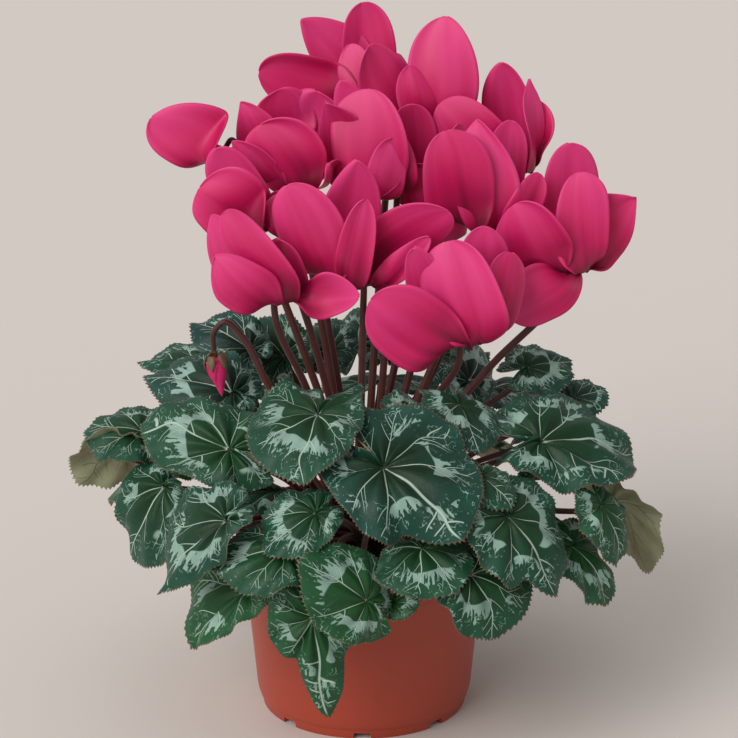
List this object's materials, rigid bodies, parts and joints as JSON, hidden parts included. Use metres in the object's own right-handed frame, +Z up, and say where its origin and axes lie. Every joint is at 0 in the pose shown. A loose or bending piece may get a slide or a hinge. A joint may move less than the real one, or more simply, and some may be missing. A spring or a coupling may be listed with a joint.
{
  "type": "potted cyclamen",
  "caption": "Potted cyclamen: marbled heart-shaped leaves in a low mound, magenta nodding flowers with swept-back petals and one bud, in a round plastic nursery pot.",
  "frame": {"origin": "centre of the pot on the plane that its foot stands on, which is close to the bottom centre of the whole plant", "axes": "+Z up along the pot; -Y towards the viewer of the plant, +X to their right"},
  "size_m": [0.2917, 0.2652, 0.3455],
  "materials": {
    "pot": "moulded matte with a faint sheen",
    "compost": "rough, moist",
    "stalk": "satin, slightly hairy",
    "leaf": "satin with silver marbling",
    "petal": "velvet matte",
    "bud": "satin"
  },
  "bodies": {
    "root": {"pot": "pot", "compost": "compost", "tuber": "stalk", "leaf_01": "leaf", "leaf_02": "leaf", "leaf_03": "leaf", "leaf_04": "leaf", "leaf_05": "leaf", "leaf_06": "leaf", "leaf_07": "leaf", "leaf_08": "leaf", "leaf_09": "leaf", "leaf_10": "leaf", "leaf_11": "leaf", "leaf_12": "leaf", "leaf_13": "leaf", "leaf_14": "leaf", "leaf_15": "leaf", "leaf_16": "leaf", "leaf_17": "leaf", "leaf_18": "leaf", "leaf_19": "leaf", "leaf_20": "leaf", "leaf_21": "leaf", "leaf_22": "leaf", "leaf_23": "leaf", "leaf_24": "leaf", "leaf_25": "leaf", "leaf_26": "leaf", "leaf_27": "leaf", "leaf_28": "leaf", "leaf_29": "leaf", "leaf_30": "leaf", "leaf_31": "leaf", "leaf_32": "leaf", "leaf_33": "leaf", "leaf_34": "leaf", "leaf_35": "leaf", "leaf_36": "leaf", "leaf_37": "leaf", "leaf_38": "leaf", "leaf_39": "leaf", "leaf_40": "leaf", "bloom_01": "petal", "bloom_02": "petal", "bloom_03": "petal", "bloom_04": "petal", "bloom_05": "petal", "bloom_06": "petal", "bloom_07": "petal", "bloom_08": "petal", "bloom_09": "petal", "bloom_10": "petal", "bloom_11": "petal", "bloom_12": "petal", "bloom_13": "petal", "bloom_14": "petal", "bud": "bud"}
  },
  "joints": []
}
